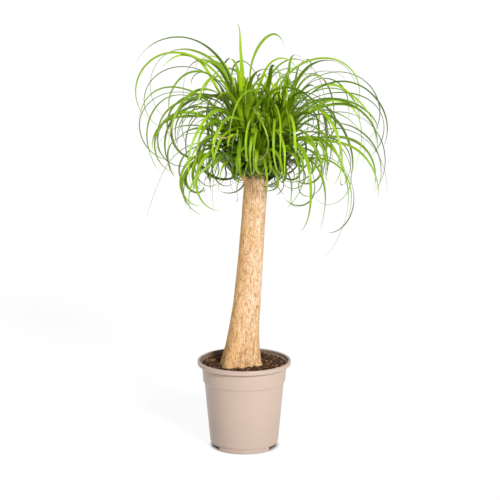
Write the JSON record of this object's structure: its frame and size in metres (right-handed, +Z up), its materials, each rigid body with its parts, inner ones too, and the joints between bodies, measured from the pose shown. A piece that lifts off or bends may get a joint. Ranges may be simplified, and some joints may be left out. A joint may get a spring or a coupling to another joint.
{
  "type": "potted ponytail palm",
  "caption": "Branched ponytail palm with arching strap leaves on a bare tan trunk, standing in a taupe plastic nursery pot of soil.",
  "frame": {"origin": "middle of the pot's underside, in the plane of the surface that it stands on", "axes": "+Z up the pot's axis; the plant's front faces -Y, with +X to the viewer's right"},
  "size_m": [0.6354, 0.5778, 1.0837],
  "materials": {
    "pot_plastic": "satin",
    "soil": "matte",
    "bark": "matte",
    "leaf": "satin"
  },
  "bodies": {
    "root": {"pot": "pot_plastic", "potting_soil": "soil", "trunk": "bark", "leaf_01": "leaf", "leaf_02": "leaf", "leaf_03": "leaf", "leaf_04": "leaf", "leaf_05": "leaf", "leaf_06": "leaf", "leaf_07": "leaf", "leaf_08": "leaf", "leaf_09": "leaf", "leaf_10": "leaf", "leaf_11": "leaf", "leaf_12": "leaf", "leaf_13": "leaf", "leaf_14": "leaf", "leaf_15": "leaf", "leaf_16": "leaf", "leaf_17": "leaf", "leaf_18": "leaf", "leaf_19": "leaf", "leaf_20": "leaf", "leaf_21": "leaf", "leaf_22": "leaf", "leaf_23": "leaf", "leaf_24": "leaf", "leaf_25": "leaf", "leaf_26": "leaf", "leaf_27": "leaf", "leaf_28": "leaf", "leaf_29": "leaf", "leaf_30": "leaf", "leaf_31": "leaf", "leaf_32": "leaf", "leaf_33": "leaf", "leaf_34": "leaf", "leaf_35": "leaf", "leaf_36": "leaf", "leaf_37": "leaf", "leaf_38": "leaf", "leaf_39": "leaf", "leaf_40": "leaf", "leaf_41": "leaf", "leaf_42": "leaf", "leaf_43": "leaf", "leaf_44": "leaf", "leaf_45": "leaf", "leaf_46": "leaf", "leaf_47": "leaf", "leaf_48": "leaf", "leaf_49": "leaf", "leaf_50": "leaf", "leaf_51": "leaf", "leaf_52": "leaf", "leaf_53": "leaf", "leaf_54": "leaf", "leaf_55": "leaf", "leaf_56": "leaf"}
  },
  "joints": []
}
